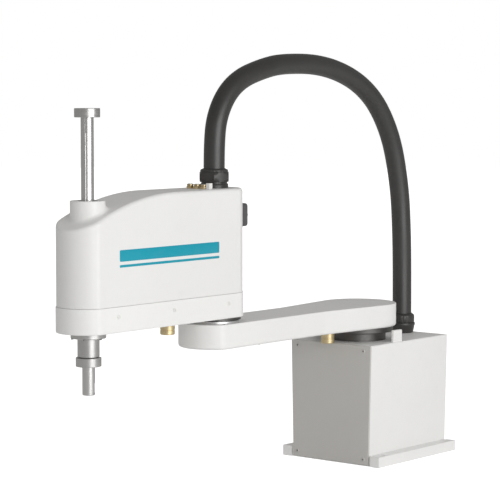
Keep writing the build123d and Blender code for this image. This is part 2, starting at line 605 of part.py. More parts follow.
def make_bracket(name, plate_z, x_range, post_xs, holes):
    """A motor plate on four posts that stand on the casting's floor"""
    with BuildPart() as bracket:
        block(x_range, (-POST_Y - POST_RADIUS, POST_Y + POST_RADIUS), (plate_z, plate_z + BRACKET_PLATE))
        for x in post_xs:
            for side in (-1, 1):
                disc((x, side * POST_Y), POST_RADIUS, (ARM_2_LOW + CASTING_FLOOR, plate_z))
        for x, radius in holes:
            disc((x, 0), radius, (plate_z, plate_z + BRACKET_PLATE), Mode.SUBTRACT)
    save(bracket, name)


def make_circuit_board():
    floor = ARM_2_LOW + CASTING_FLOOR
    with BuildPart() as board:
        block((BOARD_X, BOARD_X + 1.6), (-BOARD_HALF, BOARD_HALF), (floor + 18, BOARD_TOP))
        for y, z, wide, tall in BOARD_CHIPS:
            block((BOARD_X + 1.6, BOARD_X + 5.6), (y - wide / 2, y + wide / 2), (z - tall / 2, z + tall / 2))
    save(board, "arm_2_circuit_board")
    with BuildPart() as bracket:
        block((BOARD_X - 8, BOARD_X - 0.1), (-20, 20), (floor, floor + 2))
        block((BOARD_X - 2, BOARD_X - 0.1), (-20, 20), (floor, floor + 40))
    save(bracket, "board_bracket")


# ---------------------------------------------------------------- shaft and nuts

def housing_bolt_places(z):
    ring = [radians(30 + 60 * step) for step in range(6)]
    reach = (NUT_FLANGE_RADIUS + HOUSING_RADIUS) / 2 + 0.4
    return [(TOOL_X + reach * cos(angle), reach * sin(angle), z) for angle in ring]


def make_spline_nut_housing():
    with BuildPart() as housing:
        disc((TOOL_X, 0), NUT_FLANGE_RADIUS, (NUT_FLANGE_LOW, ARM_2_LOW))
        chamfer(housing.faces().sort_by(Axis.Z)[0].edges(), length=0.8)
        disc((TOOL_X, 0), HOUSING_RADIUS, (ARM_2_LOW, HOUSING_TOP))
        disc((TOOL_X, 0), NUT_RADIUS + GAP, (NUT_FLANGE_LOW, HOUSING_TOP), Mode.SUBTRACT)
        for place in housing_bolt_places(NUT_FLANGE_LOW):
            disc(place[:2], M3_RADIUS + FIT, (NUT_FLANGE_LOW, ARM_2_LOW), Mode.SUBTRACT)
    save(housing, "spline_nut_housing")
    make_screws("housing_bolts", housing_bolt_places(NUT_FLANGE_LOW), (0, 0, -1), 1.9, 1.4, M3_RADIUS,
                SCREW_DEPTH)


def make_nuts():
    with BuildPart() as spline_nut:
        disc((TOOL_X, 0), NUT_RADIUS, (NUT_LOW, NUT_TOP))
        chamfer(spline_nut.faces().sort_by(Axis.Z)[0].edges(), length=1)
        disc((TOOL_X, 0), SHAFT_RADIUS + GAP, (NUT_LOW, NUT_TOP), Mode.SUBTRACT)
    save(spline_nut, "spline_nut")
    make_nut_pulley("spline_nut_pulley", TURN_BELT_Z, NUT_RADIUS + FIT)
    with BuildPart() as ball_nut:
        disc((TOOL_X, 0), BALL_NUT_RADIUS, (BALL_NUT_LOW, BALL_NUT_TOP))
        disc((TOOL_X, 0), SHAFT_RADIUS + GAP, (BALL_NUT_LOW, BALL_NUT_TOP), Mode.SUBTRACT)
    save(ball_nut, "ball_nut")
    make_nut_pulley("ball_nut_pulley", LIFT_BELT_Z, BALL_NUT_RADIUS + FIT)


def turned_plane(z, angle):
    """A level plane on the shaft's axis, its x direction at an angle to +X"""
    way = (cos(radians(angle)), sin(radians(angle)), 0)
    return Plane(origin=(TOOL_X, 0, z), x_dir=way, z_dir=(0, 0, 1))


def make_shaft():
    """Hollow shaft with three straight grooves, a keyway under the top collar and a flat at its end"""
    with BuildPart() as shaft:
        disc((TOOL_X, 0), SHAFT_RADIUS, (SHAFT_LOW, SHAFT_TOP))
        chamfer(shaft.faces().sort_by(Axis.Z)[0].edges(), length=1)
        disc((TOOL_X, 0), SHAFT_BORE, (SHAFT_LOW, SHAFT_TOP), Mode.SUBTRACT)
        for angle in GROOVE_ANGLES:
            away = (TOOL_X + 10.2 * cos(radians(angle)), 10.2 * sin(radians(angle)))
            disc(away, 1.3, (262, 620), Mode.SUBTRACT)
        with BuildSketch(turned_plane(597, KEYWAY_ANGLE)):
            with Locations((SHAFT_RADIUS, 0)):
                Rectangle(5, 4)
        extrude(amount=SHAFT_TOP - COLLAR_HEIGHT - 597, mode=Mode.SUBTRACT)
        with BuildSketch(turned_plane(SHAFT_LOW + 3, CLAMP_ANGLE)):
            with Locations((SHAFT_RADIUS + 1, 0)):
                Rectangle(4, 16)
        extrude(amount=16, mode=Mode.SUBTRACT)
        with BuildSketch(turned_plane(TOOL_END, CLAMP_ANGLE)):
            Circle(SHAFT_RADIUS + 1)
            Circle(SHAFT_RADIUS - 0.4, mode=Mode.SUBTRACT)
        extrude(amount=1.5, mode=Mode.SUBTRACT)
    save(shaft, "tool_shaft")


def make_collar(name, low):
    """A split clamp collar with a notch for its screw's head"""
    with BuildPart() as collar:
        disc((TOOL_X, 0), COLLAR_RADIUS, (low, low + COLLAR_HEIGHT))
        chamfer(collar.edges().filter_by(GeomType.CIRCLE), length=0.6)
        disc((TOOL_X, 0), SHAFT_RADIUS + FIT, (low, low + COLLAR_HEIGHT), Mode.SUBTRACT)
        with BuildSketch(turned_plane(low, CLAMP_ANGLE)):
            with Locations((COLLAR_RADIUS - 4, 0)):
                Rectangle(16, COLLAR_SLOT)
            with Locations((CLAMP_X, CLAMP_SEAT + 4)):
                Rectangle(7, 8)
        extrude(amount=COLLAR_HEIGHT, mode=Mode.SUBTRACT)
        seat, inward = clamp_screw_seat(low)
        with BuildSketch(Plane(origin=seat, z_dir=inward)):
            Circle(M3_RADIUS + FIT)
        extrude(amount=CLAMP_SCREW_LENGTH + 1, mode=Mode.SUBTRACT)
    save(collar, name)


def clamp_screw_seat(low):
    """Where a collar's clamp screw's head sits, and the direction that its shank points"""
    plane = turned_plane(low + COLLAR_HEIGHT / 2, CLAMP_ANGLE)
    seat = plane.from_local_coords(Vector(CLAMP_X, CLAMP_SEAT, 0))
    return seat, -plane.y_dir


def make_collar_screws():
    seats = [clamp_screw_seat(low) for low in COLLAR_LOWS]
    make_screws("collar_screws", [seat for seat, _ in seats], -seats[0][1], 2.7, 2.8, M3_RADIUS,
                CLAMP_SCREW_LENGTH)


def make_seal():
    with BuildPart() as seal:
        disc((TOOL_X, 0), 16 - FIT, (BOSS_TOP - BOSS_ROOF, BOSS_TOP - 1))
        disc((TOOL_X, 0), SHAFT_RADIUS + GAP, (BOSS_TOP - BOSS_ROOF, BOSS_TOP - 1), Mode.SUBTRACT)
    save(seal, "shaft_seal")


# ---------------------------------------------------------------- hose

def hose_plane_y(x):
    """The hose hangs in the vertical plane through both glands"""
    return BASE_GLAND[1] * (ARM_1 - x) / (ARM_1 - BASE_GLAND[0])


def make_hose(name, route):
    points = [Vector(x, hose_plane_y(x), z) for x, z in route]
    runs = [b - a for a, b in zip(points, points[1:])]
    turns = [radians(a.get_angle(b)) for a, b in zip(runs, runs[1:])]
    radii = [0.45 * min(a.length, b.length) / tan(turn / 2) for a, b, turn in zip(runs, runs[1:], turns)]
    print(name, "arc radii", [round(radius) for radius in radii])
    with BuildPart() as hose:
        with BuildLine() as path:
            FilletPolyline(*points, radius=radii)
        with BuildSketch(Plane(origin=points[0], z_dir=runs[0])):
            Circle(HOSE_RADIUS)
        sweep(path=path.wires()[0])
    length = path.wires()[0].length
    print(name, "length", round(length), "volume over section times length",
          round(hose.part.volume / (pi * HOSE_RADIUS ** 2 * length), 4))
    save(hose, name)


make_base_casting()
make_base_plate("base_front_plate", BASE_FRONT - PLATE)
make_base_plate("base_rear_panel", BASE_REAR, REAR_SOCKETS.values())
make_screws("front_plate_screws", plate_screw_places(BASE_FRONT), (1, 0, 0), 3.6, 1.6, M4_RADIUS,
            SCREW_DEPTH)
make_screws("rear_panel_screws", plate_screw_places(BASE_REAR), (-1, 0, 0), 3.6, 1.6, M4_RADIUS,
            SCREW_DEPTH)
for socket_name in REAR_SOCKETS:
    make_rear_connector(socket_name)
make_base_air_fittings()
make_stop_block()
make_j1_motor()
make_j1_reducer()
make_j1_stop_segment()
make_base_gland()
make_arm_1_casting()
make_arm_1_cover()
make_screws("arm_1_cover_screws", cover_screw_places(), (0, 0, -1), 2.8, 1.2, M3_RADIUS, 12)
make_brass_stud("arm_1_brass_plug", PLUG_PLACE, PLUG_RADIUS, PLUG_LOW, ARM_1_LOW)
make_brass_stud("arm_2_bumper", BUMPER_PLACE, BUMPER_RADIUS, BUMPER_LOW, ARM_2_LOW)
make_j2_reducer()
make_arm_2_casting()
make_arm_2_cover()
for screw_name, screw_side in (("side_screws_right", -1), ("side_screws_left", 1)):
    make_screws(screw_name, [(x, screw_side * ARM_2_HALF, SIDE_SCREW_Z) for x in SIDE_SCREW_X],
                (0, screw_side, 0), 3.4, 1.0, M4_RADIUS, 9)
make_arm_gland()
make_air_fittings()
make_brake_button()
make_rear_socket()
make_motors()
make_motor_pulley("turn_motor_pulley", TURN_MOTOR_X, TURN_BELT_Z, (TURN_BELT_Z - 4, TURN_PLATE_Z + 36))
make_motor_pulley("lift_motor_pulley", LIFT_MOTOR_X, LIFT_BELT_Z, (LIFT_PLATE_Z - 30, LIFT_BELT_Z + 16))
make_belt("turn_belt", TURN_MOTOR_X, TURN_BELT_Z)
make_belt("lift_belt", LIFT_MOTOR_X, LIFT_BELT_Z)
make_bracket("turn_motor_bracket", TURN_PLATE_Z, (468, 532), (474, 526), [(TURN_MOTOR_X, MOTOR_SHAFT + 1)])
make_bracket("lift_motor_bracket", LIFT_PLATE_Z, (566, 724), (572, 660),
             [(LIFT_MOTOR_X, MOTOR_SHAFT + 1), (TOOL_X, BALL_NUT_RADIUS + GAP)])
make_circuit_board()
make_spline_nut_housing()
make_nuts()
make_shaft()
for collar_name, collar_low in zip(("lower_stop_collar", "upper_stop_collar"), COLLAR_LOWS):
    make_collar(collar_name, collar_low)
make_collar_screws()
make_seal()
make_hose("hose_lower", ROUTE_LOWER)
make_hose("hose_upper", ROUTE_UPPER)
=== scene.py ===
import bpy
import json
from math import cos, pi, radians, sin
from mathutils import Matrix, Vector


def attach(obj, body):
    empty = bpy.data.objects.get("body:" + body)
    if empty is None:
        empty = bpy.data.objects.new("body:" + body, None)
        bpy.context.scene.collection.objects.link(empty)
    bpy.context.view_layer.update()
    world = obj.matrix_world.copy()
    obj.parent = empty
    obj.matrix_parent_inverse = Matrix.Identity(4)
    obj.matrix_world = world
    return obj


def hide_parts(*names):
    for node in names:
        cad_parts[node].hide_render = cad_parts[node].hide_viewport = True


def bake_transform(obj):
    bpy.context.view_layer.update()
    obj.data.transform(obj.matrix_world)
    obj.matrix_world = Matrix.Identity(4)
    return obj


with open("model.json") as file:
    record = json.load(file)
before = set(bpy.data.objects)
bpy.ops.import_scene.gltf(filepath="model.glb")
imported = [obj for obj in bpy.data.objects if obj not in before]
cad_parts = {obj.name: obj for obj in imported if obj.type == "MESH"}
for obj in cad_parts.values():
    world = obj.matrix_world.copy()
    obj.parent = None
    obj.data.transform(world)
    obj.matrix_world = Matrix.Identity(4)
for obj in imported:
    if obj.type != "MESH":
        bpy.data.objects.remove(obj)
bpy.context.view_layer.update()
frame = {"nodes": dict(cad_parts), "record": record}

# Lengths in metres, in the CAD model's frame
JOINT_2, TOOL_X = 0.4, 0.7
BASE_REAR = -0.158
COVER_TOP, COVER_SIDE = 0.502, 0.04478
BASE_TOP, BASE_FRONT = 0.214, 0.082
BASE_GLAND = (-0.132, 0.004)
ARM_GLAND_TURN = radians(40.5)
PLATE_SCREW_Y, PLATE_SCREW_Z = (-0.0735, 0.0735), (0.012, 0.2045)
ARM_PORT_X, ARM_PORT_PITCH = 0.443, 0.015
BASE_PORT_Y, BASE_PORT_Z = (-0.050, -0.032), 0.078
REAR_CONNECTOR = (0.352, 0.002, 0.455)
STRIPE_X, STRIPE_Z, STRIPE_THICKNESS = 0.558, 0.4035, 0.00035
HOSE_RADIUS = 0.0175
LOWER_ROUTE = [(-0.132, 0.250), (-0.132, 0.310), (-0.130, 0.400), (-0.122, 0.490), (-0.091, 0.590),
               (-0.022, 0.667), (0.098, 0.708), (0.170, 0.708)]
UPPER_ROUTE = [(0.170, 0.708), (0.224, 0.708), (0.279, 0.698), (0.333, 0.682), (0.370, 0.656),
               (0.394, 0.617), (0.400, 0.572), (0.400, 0.531)]


# ---------------------------------------------------------------- camera

def make_camera():
    yaw, pitch = radians(39.517), radians(4.449)
    ahead = Vector((-cos(yaw), -sin(yaw), 0))
    right = Vector((-sin(yaw), cos(yaw), 0))
    view = ahead * cos(pitch) - Vector((0, 0, sin(pitch)))
    up = right.cross(view)
    data = bpy.data.cameras.new("camera")
    data.sensor_width, data.lens = 36.0, 147.93
    data.clip_start, data.clip_end = 0.05, 60.0
    camera = bpy.data.objects.new("camera", data)
    camera.matrix_world = Matrix((
        (right.x, up.x, -view.x, 2.979), (right.y, up.y, -view.y, 2.204),
        (right.z, up.z, -view.z, 0.6626), (0, 0, 0, 1)))
    bpy.context.scene.collection.objects.link(camera)
    bpy.context.scene.camera = camera


# ---------------------------------------------------------------- meshes

def make_object(name, points, faces, material, sharp=32):
    mesh = bpy.data.meshes.new(name)
    mesh.from_pydata([tuple(p) for p in points], [], faces)
    mesh.validate()
    for polygon in mesh.polygons:
        polygon.use_smooth = True
    mesh.set_sharp_from_angle(angle=radians(sharp))
    mesh.materials.append(material)
    piece = bpy.data.objects.new(name, mesh)
    bpy.context.scene.collection.objects.link(piece)
    return piece


def apply_modifier(piece, kind, **values):
    """Adds a modifier with these values and keeps only its result"""
    modifier = piece.modifiers.new(kind.lower(), kind)
    for key, value in values.items():
        setattr(modifier, key, value)
    graph = bpy.context.evaluated_depsgraph_get()
    made = bpy.data.meshes.new_from_object(piece.evaluated_get(graph), depsgraph=graph)
    piece.modifiers.clear()
    old, piece.data = piece.data, made
    bpy.data.meshes.remove(old)
    return piece


def round_edges(piece, width, segments=2, angle=30):
    apply_modifier(piece, "BEVEL", width=width, segments=segments, limit_method="ANGLE",
                   angle_limit=radians(angle), harden_normals=False)
    piece.data.set_sharp_from_angle(angle=radians(40))
    return piece


def join(name, pieces):
    """One object from several, each keeping its own materials"""
    materials, points, faces, slots, smooth = [], [], [], [], []
    for piece in pieces:
        first = len(points)
        points += [piece.matrix_world @ v.co for v in piece.data.vertices]
        for polygon in piece.data.polygons:
            faces.append([first + i for i in polygon.vertices])
            material = piece.data.materials[polygon.material_index]
            if material not in materials:
                materials.append(material)
            slots.append(materials.index(material))
            smooth.append(polygon.use_smooth)
    mesh = bpy.data.meshes.new(name)
    mesh.from_pydata([tuple(p) for p in points], [], faces)
    for polygon, slot, soft in zip(mesh.polygons, slots, smooth):
        polygon.material_index, polygon.use_smooth = slot, soft
    for material in materials:
        mesh.materials.append(material)
    mesh.set_sharp_from_angle(angle=radians(38))
    joined = bpy.data.objects.new(name, mesh)
    bpy.context.scene.collection.objects.link(joined)
    for piece in pieces:
        bpy.data.objects.remove(piece)
    return joined


def place(centre, axis=(0, 0, 1), turn=0.0):
    """A frame whose z direction is axis"""
    return (Matrix.Translation(Vector(centre)) @ Vector(axis).to_track_quat("Z", "Y").to_matrix().to_4x4()
            @ Matrix.Rotation(turn, 4, "Z"))


def turned(name, profile, where, material, sides=64, flutes=0, depth=0.0, flute_range=(0, 0), sharp=32):
    """A surface of revolution through (radius, height) points. Between two heights it may have flutes."""
    points, faces = [], []
    for radius, z in profile:
        for i in range(sides):
            angle = 2 * pi * i / sides
            r = radius
            if flutes and flute_range[0] <= z <= flute_range[1]:
                r -= depth * max(0.0, cos(flutes * angle)) ** 2
            points.append(where @ Vector((r * cos(angle), r * sin(angle), z)))
    rings = len(profile)
    for k in range(rings - 1):
        for i in range(sides):
            j = (i + 1) % sides
            faces.append((k * sides + i, k * sides + j, (k + 1) * sides + j, (k + 1) * sides + i))
    if profile[0] != profile[-1]:
        faces.append(tuple(reversed(range(sides))))
        faces.append(tuple(range((rings - 1) * sides, rings * sides)))
    return make_object(name, points, faces, material, sharp)


def prism(name, outline, low, high, where, material, bevel=0.0, segments=2):
    """An outline of (x, y) points extruded between two heights, its edges rounded"""
    n = len(outline)
    points = [where @ Vector((x, y, z)) for z in (low, high) for x, y in outline]
    faces = [tuple(reversed(range(n))), tuple(range(n, 2 * n))]
    faces += [(i, (i + 1) % n, n + (i + 1) % n, n + i) for i in range(n)]
    piece = make_object(name, points, faces, material)
    return round_edges(piece, bevel, segments) if bevel else piece


def rounded_rectangle(width, height, radius, steps=5, centre=(0, 0)):
    outline = []
    for quarter, (sx, sy) in enumerate(((1, 1), (-1, 1), (-1, -1), (1, -1))):
        cx, cy = sx * (width / 2 - radius) + centre[0], sy * (height / 2 - radius) + centre[1]
        for step in range(steps + 1):
            angle = pi / 2 * (quarter + step / steps)
            outline.append((cx + radius * cos(angle), cy + radius * sin(angle)))
    return outline


def hexagon(name, radius, low, high, where, material):
    """A hexagonal nut whose corners are turned down at both ends, as on a real one"""
    sides, points, faces = 96, [], []
    flat = radius * cos(pi / 6)
    drop = 0.16 * radius

    def across(angle):
        part = (angle % (pi / 3)) - pi / 6
        return flat / cos(part)

    levels = [(low, 0.97 * flat, True), (low + 0.02 * radius, flat, True), (low + drop, radius, False),
              (high - drop, radius, False), (high - 0.02 * radius, flat, True), (high, 0.97 * flat, True)]
    for z, limit, _ in levels:
        for i in range(sides):
            angle = 2 * pi * i / sides
            r = min(across(angle), limit)
            points.append(where @ Vector((r * cos(angle), r * sin(angle), z)))
    for k in range(len(levels) - 1):
        for i in range(sides):
            j = (i + 1) % sides
            faces.append((k * sides + i, k * sides + j, (k + 1) * sides + j, (k + 1) * sides + i))
    faces.append(tuple(reversed(range(sides))))
    faces.append(tuple(range((len(levels) - 1) * sides, len(levels) * sides)))
    return make_object(name, points, faces, material, sharp=24)


# ---------------------------------------------------------------- materials

class Nodes:
    """A Principled material, and short ways to add nodes to it"""

    def __init__(self, name):
        self.material = bpy.data.materials.new(name)
        self.material.use_nodes = True
        self.tree = self.material.node_tree
        self.shader = self.tree.nodes["Principled BSDF"]
        self.coordinates = self.tree.nodes.new("ShaderNodeTexCoord")

    def node(self, kind, **values):
        made = self.tree.nodes.new(kind)
        for key, value in values.items():
            setattr(made, key, value)
        return made

    def link(self, source, target):
        self.tree.links.new(source, target)

    def mapped(self, scale=(1, 1, 1), turn=(0, 0, 0)):
        mapping = self.node("ShaderNodeMapping")
        mapping.inputs["Scale"].default_value = scale
        mapping.inputs["Rotation"].default_value = turn
        self.link(self.coordinates.outputs["Object"], mapping.inputs["Vector"])
        return mapping.outputs["Vector"]

    def noise(self, scale, detail=3.0, rough=0.5, stretch=(1, 1, 1)):
        noise = self.node("ShaderNodeTexNoise")
        noise.inputs["Scale"].default_value = scale
        noise.inputs["Detail"].default_value = detail
        noise.inputs["Roughness"].default_value = rough
        self.link(self.mapped(stretch), noise.inputs["Vector"])
        return noise.outputs["Fac"]

    def ramp(self, value, stops):
        ramp = self.node("ShaderNodeValToRGB")
        for element, (position, colour) in zip(ramp.color_ramp.elements, (stops[0], stops[-1])):
            element.position, element.color = position, colour
        for position, colour in stops[1:-1]:
            ramp.color_ramp.elements.new(position).color = colour
        self.link(value, ramp.inputs["Fac"])
        return ramp.outputs["Color"]

    def spread(self, value, low, high, start=0.3, stop=0.7):
        spread = self.node("ShaderNodeMapRange")
        for key, number in (("From Min", start), ("From Max", stop), ("To Min", low), ("To Max", high)):
            spread.inputs[key].default_value = number
        self.link(value, spread.inputs["Value"])
        return spread.outputs["Result"]

    def blend(self, factor, first, second, kind="MIX"):
        mix = self.node("ShaderNodeMix", data_type="RGBA", blend_type=kind)
        for value, socket in ((factor, mix.inputs["Factor"]), (first, mix.inputs["A"]),
                              (second, mix.inputs["B"])):
            if hasattr(value, "is_linked"):
                self.link(value, socket)
            else:
                socket.default_value = value
        return mix.outputs["Result"]

    def bump(self, heights):
        """Bumps in metres, one after another"""
        normal = None
        for value, distance, strength in heights:
            bump = self.node("ShaderNodeBump")
            bump.inputs["Distance"].default_value = distance
            bump.inputs["Strength"].default_value = strength
            self.link(value, bump.inputs["Height"])
            if normal:
                self.link(normal, bump.inputs["Normal"])
            normal = bump.outputs["Normal"]
        self.link(normal, self.shader.inputs["Normal"])


def rgb(r, g, b, gain=1.0):
    return (r * gain, g * gain, b * gain, 1.0)


def painted(name, colour, rough, grain=1400.0, grain_height=0.00004, dust=0.04, coat=0.0):
    """Sprayed paint or powder coat: orange peel, faint unevenness and faint darker specks"""
    nodes = Nodes(name)
    broad, middle, fine = nodes.noise(5.0, 4.0), nodes.noise(60.0, 5.0, 0.6), nodes.noise(grain, 2.0)
    base = nodes.ramp(broad, [(0.3, rgb(*colour, gain=1 - dust)), (0.7, rgb(*colour))])
    speck = nodes.spread(middle, 0.0, 0.035, 0.5, 0.8)
    base = nodes.blend(speck, base, rgb(0.42, 0.40, 0.37))
    nodes.link(base, nodes.shader.inputs["Base Color"])
    nodes.link(nodes.spread(middle, rough - 0.05, rough + 0.07), nodes.shader.inputs["Roughness"])
    nodes.shader.inputs["Coat Weight"].default_value = coat
    nodes.shader.inputs["Coat Roughness"].default_value = 0.25
    nodes.bump([(fine, grain_height, 0.35), (nodes.noise(220.0, 2.0), 0.0001, 0.12)])
    return nodes.material


def metal(name, colour, rough, stretch, lines=900.0, variation=0.10, height=0.00002, stain=0.0):
    """Machined metal: fine tool lines along one direction, uneven shine and a little staining"""
    nodes = Nodes(name)
    tool = nodes.noise(lines, 3.0, 0.6, stretch)
    cloud = nodes.noise(28.0, 4.0, 0.6)
    base = nodes.ramp(tool, [(0.25, rgb(*colour, gain=1 - variation)), (0.75, rgb(*colour))])
    base = nodes.blend(nodes.spread(cloud, 0.0, stain, 0.5, 0.8), base, rgb(*colour, gain=0.5))
    nodes.link(base, nodes.shader.inputs["Base Color"])
    nodes.shader.inputs["Metallic"].default_value = 1.0
    nodes.link(nodes.spread(tool, rough - 0.06, rough + 0.10), nodes.shader.inputs["Roughness"])
    nodes.bump([(tool, height, 0.4), (cloud, 0.00002, 0.05)])
    return nodes.material


def moulded(name, colour, rough, grain=2500.0, height=0.00003, variation=0.15, specular=0.5):
    """Moulded plastic or rubber: fine spark-eroded grain, slight bloom and uneven shine"""
    nodes = Nodes(name)
    broad, fine = nodes.noise(18.0, 5.0, 0.6), nodes.noise(grain, 2.0, 0.5)
    base = nodes.ramp(broad, [(0.3, rgb(*colour, gain=1 - variation)),
                              (0.72, rgb(*colour, gain=1 + variation))])
    nodes.link(base, nodes.shader.inputs["Base Color"])
    nodes.link(nodes.spread(broad, rough - 0.06, rough + 0.07), nodes.shader.inputs["Roughness"])
    nodes.shader.inputs["Specular IOR Level"].default_value = specular
    nodes.bump([(fine, height, 0.35), (nodes.noise(160.0, 3.0), 0.00012, 0.10)])
    return nodes.material


def make_materials():
    ring = (0.02, 0.02, 1.0)
    along_x = (0.02, 1.0, 1.0)
    along_z = (1.0, 1.0, 0.02)
    return {
        "white_paint": painted("casting_paint", (0.86, 0.855, 0.845), 0.42),
        "cover_white": painted("cover_paint", (0.815, 0.811, 0.801), 0.36, grain=1800.0, dust=0.025),
        # Light grey powder coat, made darker to stand in for the shade on the base's front face: partly the
        # plate's own grey, partly painted shade
        "front_plate": painted("plate_powder_coat_with_painted_shade", (0.57, 0.556, 0.532), 0.52, grain=900.0,
                               grain_height=0.00008),
        "screw_steel": metal("screw_steel", (0.22, 0.217, 0.212), 0.36, ring),
        "screw_painted": painted("screw_paint", (0.80, 0.79, 0.775), 0.4, grain=3000.0),
        "connector_black": moulded("connector_nylon", (0.085, 0.085, 0.088), 0.45),
        "connector_shell": metal("connector_shell", (0.62, 0.61, 0.59), 0.30, along_x, stain=0.3),
        "brass": metal("brass", (0.76, 0.62, 0.37), 0.34, ring, lines=500.0, variation=0.10,
                       height=0.000008, stain=0.3),
        "motor_black": moulded("motor_anodised", (0.05, 0.05, 0.055), 0.35),
        "reducer_steel": metal("reducer_steel", (0.145, 0.141, 0.137), 0.42, ring, lines=700.0, stain=0.2),
        "machined_aluminium": metal("machined_aluminium", (0.80, 0.80, 0.80), 0.32, ring, lines=450.0),
        "ground_steel": metal("ground_steel", (0.58, 0.575, 0.566), 0.34, ring, lines=1100.0,
                              height=0.000002, stain=0.15),
        "shaft_steel": metal("shaft_steel", (0.63, 0.626, 0.62), 0.33, along_z, lines=1500.0,
                             variation=0.05, height=0.000001),
        "belt_rubber": moulded("belt_rubber", (0.035, 0.035, 0.035), 0.6),
        "seal_rubber": moulded("seal_rubber", (0.045, 0.045, 0.045), 0.5),
        "gland_black": moulded("gland_nylon", (0.042, 0.041, 0.039), 0.34, height=0.00004),
        "hose_black": moulded("hose_rubber", (0.027, 0.0262, 0.0248), 0.40, grain=1600.0, variation=0.12,
                              specular=0.75),
        "button_white": moulded("button_plastic", (0.84, 0.83, 0.81), 0.3, variation=0.02),
        "board_green": moulded("board_lacquer", (0.03, 0.14, 0.07), 0.3, grain=700.0, variation=0.3),
        "stripe_teal": painted("stripe_film", (0.0, 0.33, 0.44), 0.33, grain=2400.0,
                               grain_height=0.00001, dust=0.05),
    }


OWN_MATERIAL = {
    "base_front_plate": "front_plate", "tool_shaft": "shaft_steel", "arm_2_circuit_board": "board_green",
    "side_screws_left": "screw_painted", "side_screws_right": "screw_painted",
}


def dress_cad_nodes(materials):
    """Every carried-over CAD node gets its finish from its material slot in the record"""
    slots = {part["node"]: part["material_slot"] for part in frame["record"]["subparts"]}
    for name, node in frame["nodes"].items():
        finish = materials.get(OWN_MATERIAL.get(name, slots[name])) or materials["front_plate"]
        if not node.data.materials:
            node.data.materials.append(finish)
        for slot in node.material_slots:
            slot.link = "OBJECT"
            slot.material = finish


# ---------------------------------------------------------------- hose

def hose_line(name, route):
    """The hose's centreline: a NURBS through its route, in the vertical plane of both glands"""
    data = bpy.data.curves.new(name, "CURVE")
    data.dimensions, data.resolution_u = "3D", 16
    spline = data.splines.new("NURBS")
    spline.points.add(len(route) - 1)
    for point, (x, z) in zip(spline.points, route):
        y = BASE_GLAND[1] * (JOINT_2 - x) / (JOINT_2 - BASE_GLAND[0])
        point.co = (x, y, z, 1.0)
    spline.order_u = 3
    spline.use_endpoint_u = True
    curve = bpy.data.objects.new(name, data)
    bpy.context.scene.collection.objects.link(curve)
    mesh = bpy.data.meshes.new_from_object(curve)
    line = [v.co.copy() for v in mesh.vertices]
    bpy.data.objects.remove(curve)
    bpy.data.meshes.remove(mesh)
    return line


def make_hose(name, route, material):
    line = hose_line(name + "_line", route)
    sides, points, faces = 48, [], []
    across = Vector((BASE_GLAND[1], JOINT_2 - BASE_GLAND[0], 0)).normalized()
    for i, centre in enumerate(line):
        ahead = (line[min(i + 1, len(line) - 1)] - line[max(i - 1, 0)]).normalized()
        out = across.cross(ahead).normalized()
        for j in range(sides):
            angle = 2 * pi * j / sides
            points.append(centre + HOSE_RADIUS * (across * cos(angle) + out * sin(angle)))
    for i in range(len(line) - 1):
        for j in range(sides):
            k = (j + 1) % sides
            faces.append((i * sides + j, i * sides + k, (i + 1) * sides + k, (i + 1) * sides + j))
    faces.append(tuple(reversed(range(sides))))
    faces.append(tuple(range((len(line) - 1) * sides, len(line) * sides)))
    tube = make_object(name, points, faces, material)
    length = sum((b - a).length for a, b in zip(line, line[1:]))
    return tube, line, length


def make_hoses(material):
    tube, line, length = make_hose("hose_lower_tube", LOWER_ROUTE, material)
    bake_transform(tube)
    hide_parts("hose_lower")
    tube, line, length = make_hose("hose_upper_tube", UPPER_ROUTE, material)
    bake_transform(tube)
    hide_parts("hose_upper")


# ---------------------------------------------------------------- glands and fittings

def make_arm_gland(materials):
    """Hexagonal body, a ribbed clamping nut with a domed shoulder, and a soft lip round the hose"""
    where = place((JOINT_2, 0, COVER_TOP))
    black = materials["gland_black"]
    parts = [
        turned("flange", [(0.0232, 0), (0.0232, 0.0060), (0.0226, 0.0068), (0.0214, 0.0072),
                          (0.0214, 0.0100)], where, black, sides=96),
        hexagon("body", 0.0279, 0.0098, 0.0266, place((JOINT_2, 0, COVER_TOP), turn=ARM_GLAND_TURN), black),
        turned("nut", [(0.0215, 0.0262), (0.0228, 0.0268), (0.0231, 0.0276), (0.0231, 0.0288),
                       (0.0224, 0.0300), (0.0210, 0.0308), (0.0197, 0.0311), (0.0178, 0.0311),
                       (0.0178, 0.0200)], where, black, sides=144, flutes=24,
               depth=0.0005, flute_range=(0.0270, 0.0290)),
        turned("lip", [(0.0188, 0.0308), (0.0195, 0.0312), (0.0192, 0.0318), (0.0185, 0.0320),
                       (0.0178, 0.0318), (0.0178, 0.0260)], where, materials["seal_rubber"]),
    ]
    gland = join("arm_gland_detailed", parts)
    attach(gland, "arm_2")
    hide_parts("arm_hose_gland")


